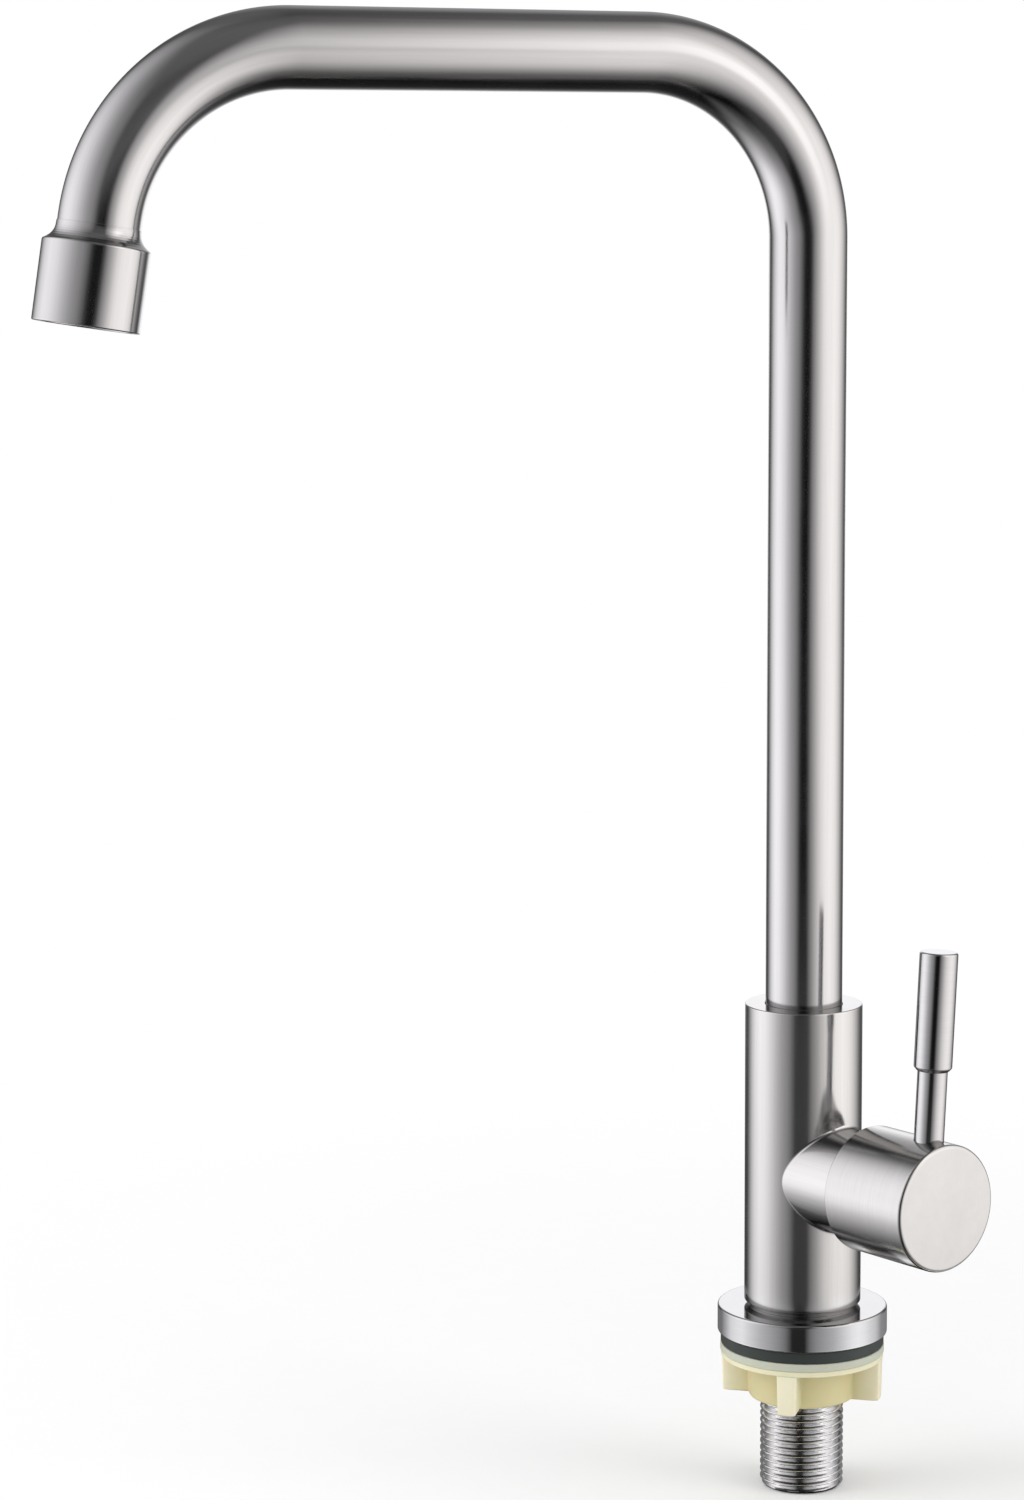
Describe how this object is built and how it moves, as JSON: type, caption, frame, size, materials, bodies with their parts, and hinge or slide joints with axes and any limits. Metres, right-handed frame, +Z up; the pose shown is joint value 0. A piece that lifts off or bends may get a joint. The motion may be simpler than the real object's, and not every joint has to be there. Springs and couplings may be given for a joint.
{
  "type": "kitchen faucet",
  "caption": "Single-water kitchen tap: swivelling bent tube spout with aerator, side quarter-turn valve with pin lever, base flange, threaded tail and lugged deck nut.",
  "frame": {"origin": "on the axis of the barrel and its threaded tail, at the deck face, which is the underside of the base gasket", "axes": "+Z up along the barrel, the spout reaches along -X at rest, the handle points to azimuth 286.5 degrees, between -Y and +X"},
  "size_m": [0.2223, 0.0743, 0.3659],
  "materials": {
    "brushed_steel": "brushed stainless steel, satin",
    "polished_steel": "polished",
    "shank_steel": "bright machined thread",
    "gasket_rubber": "matt dark green-grey rubber",
    "nut_plastic": "moulded cream plastic",
    "washer_plastic": "pale milky plastic",
    "brass": "turned brass",
    "ceramic": "ground white ceramic, opaque",
    "seal_rubber": "black sealing rubber",
    "nylon": "white nylon",
    "aerator_plastic": "pale grey moulded plastic",
    "screen_steel": "fine wire mesh",
    "screw_steel": "plain steel"
  },
  "bodies": {
    "tap": {"faucet_body": "brushed_steel", "base_flange": "polished_steel", "base_gasket": "gasket_rubber", "inlet_shank": "shank_steel", "inlet_washer": "seal_rubber", "thrust_washer": "nylon", "spout_screw": "screw_steel", "cartridge_housing": "brass", "housing_o_ring": "seal_rubber", "seat_seal": "seal_rubber", "fixed_disc": "ceramic", "handle_guide_ring": "nylon"},
    "washer": {"slip_washer": "washer_plastic"},
    "nut": {"mounting_nut": "nut_plastic"},
    "spout": {"spout_tube": "brushed_steel", "spout_ferrule": "brass", "spout_o_rings": "seal_rubber", "spout_slip_ring": "nylon", "outlet_collar": "brushed_steel", "aerator_gasket": "seal_rubber", "aerator_jet_plate": "aerator_plastic", "aerator_screens": "screen_steel", "aerator_housing": "aerator_plastic", "aerator_grid": "aerator_plastic"},
    "handle": {"handle_hub": "brushed_steel", "lever_pin": "polished_steel", "hub_grub_screw": "screw_steel", "cartridge_stem": "brass", "stem_slide_ring": "nylon", "stem_o_rings": "seal_rubber", "stem_clip": "screw_steel", "moving_disc": "ceramic"}
  },
  "joints": [
    {"name": "spout_swivel", "type": "hinge", "parent": "tap", "child": "spout", "pos_m": [0, 0, 0.072], "axis": [0, 0, 1], "continuous": true},
    {"name": "handle_turn", "type": "hinge", "parent": "tap", "child": "handle", "pos_m": [0, 0, 0.0445], "axis": [0.284, -0.9588, 0], "range_deg": [0, 90]},
    {"name": "nut_turn", "type": "hinge", "parent": "washer", "child": "nut", "pos_m": [0, 0, 0], "axis": [0, 0, 1], "range_deg": [-4500, 0]},
    {"name": "nut_travel", "type": "slide", "parent": "tap", "child": "washer", "axis": [0, 0, 1], "range_m": [-0.02165, 0]}
  ],
  "couplings": [
    {"joint": "nut_turn", "follows": "nut_travel", "rad_per_m": 3463.2}
  ]
}
